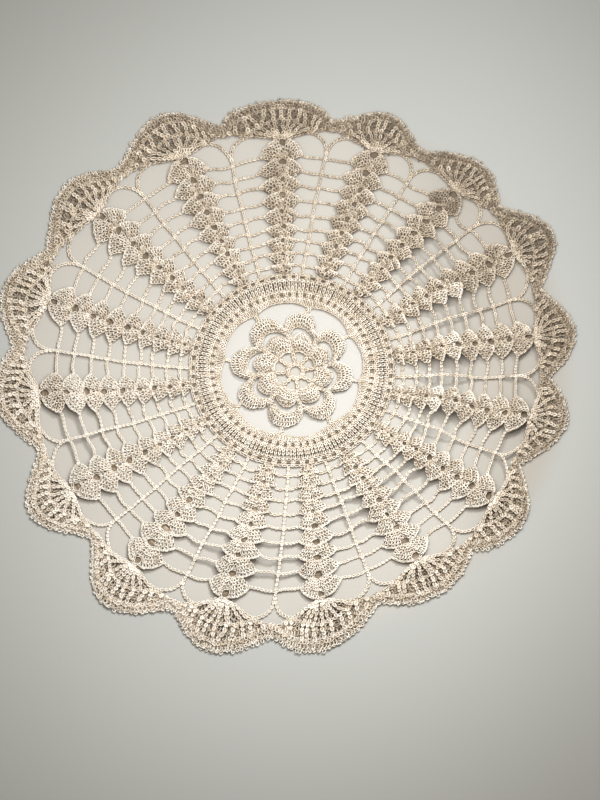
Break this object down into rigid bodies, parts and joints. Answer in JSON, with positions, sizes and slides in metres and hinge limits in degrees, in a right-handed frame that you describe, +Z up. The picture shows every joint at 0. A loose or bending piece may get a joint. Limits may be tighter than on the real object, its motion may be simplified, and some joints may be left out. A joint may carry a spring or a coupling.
{
  "type": "round crochet lace doily",
  "caption": "Round openwork table doily in cream cotton crochet: a raised rose in a solid band, a net of shell columns and chain bars around it, and a scalloped edge.",
  "frame": {"origin": "middle of the bounding box, on the table that the lace lies on; the rose is about 6 mm from it", "axes": "+Z up off the table; +Y away from the camera that looks down at the doily, +X to its right"},
  "size_m": [0.3398, 0.3428, 0.0082],
  "materials": {
    "cotton": "cream mercerised crochet cotton, softly sheened"
  },
  "bodies": {
    "root": {"doily": "cotton"}
  },
  "joints": []
}
